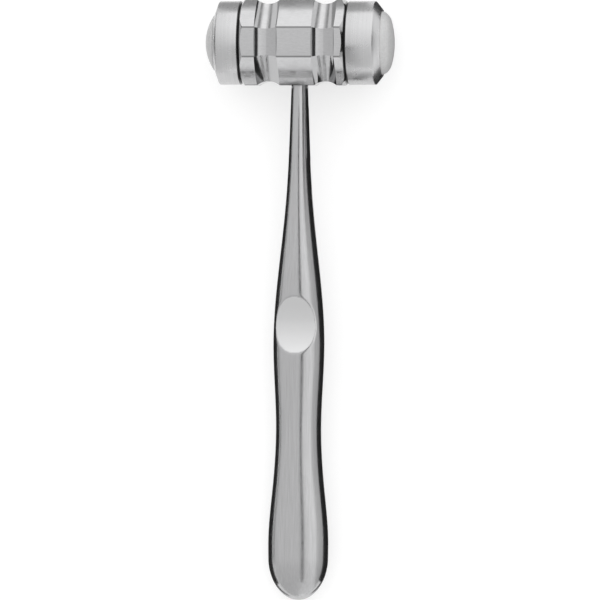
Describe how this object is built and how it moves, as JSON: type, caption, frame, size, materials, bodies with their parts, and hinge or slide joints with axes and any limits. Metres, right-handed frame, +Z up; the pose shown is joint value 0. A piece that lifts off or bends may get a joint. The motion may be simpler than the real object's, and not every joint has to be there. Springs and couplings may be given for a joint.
{
  "type": "surgical mallet",
  "caption": "Surgical mallet: grooved octagonal steel head, screwed rings that hold domed plastic faces, and a slim steel handle that flares to a thumb rest and a rounded grip.",
  "frame": {"origin": "centre of the bounding box in X and Y, on the surface that the mallet lies on", "axes": "+X along the head to the end with the rounded ring, +Y along the handle towards the head, +Z up, out of the front with the thumb rest; the mallet lies on its back, tilted about 2.8 degrees about X, tail down"},
  "size_m": [0.06, 0.19, 0.0276],
  "materials": {
    "head_steel": "polished stainless steel",
    "handle_steel": "satin stainless steel, brushed lengthwise",
    "ring_steel": "satin stainless steel with fine turning lines",
    "face_plastic": "smooth off-white plastic"
  },
  "bodies": {
    "head": {"head_body": "head_steel", "handle": "handle_steel"},
    "left_face": {"left_face": "face_plastic"},
    "left_collar": {"left_collar": "ring_steel"},
    "right_face": {"right_face": "face_plastic"},
    "right_collar": {"right_collar": "ring_steel"}
  },
  "joints": [
    {"name": "left_face_slide", "type": "slide", "parent": "head", "child": "left_face", "axis": [-1, 0, 0], "range_m": [0, 0.0035]},
    {"name": "left_collar_turn", "type": "hinge", "parent": "left_face", "child": "left_collar", "pos_m": [-0.02138, 0.08118, 0.01381], "axis": [-1, 0, 0], "range_deg": [0, 1260]},
    {"name": "right_face_slide", "type": "slide", "parent": "head", "child": "right_face", "axis": [1, 0, 0], "range_m": [0, 0.0055]},
    {"name": "right_collar_turn", "type": "hinge", "parent": "right_face", "child": "right_collar", "pos_m": [0.01843, 0.08118, 0.01381], "axis": [1, 0, 0], "range_deg": [0, 1980]}
  ],
  "couplings": [
    {"joint": "left_face_slide", "follows": "left_collar_turn", "m_per_rad": 0.00015915},
    {"joint": "right_face_slide", "follows": "right_collar_turn", "m_per_rad": 0.00015915}
  ]
}
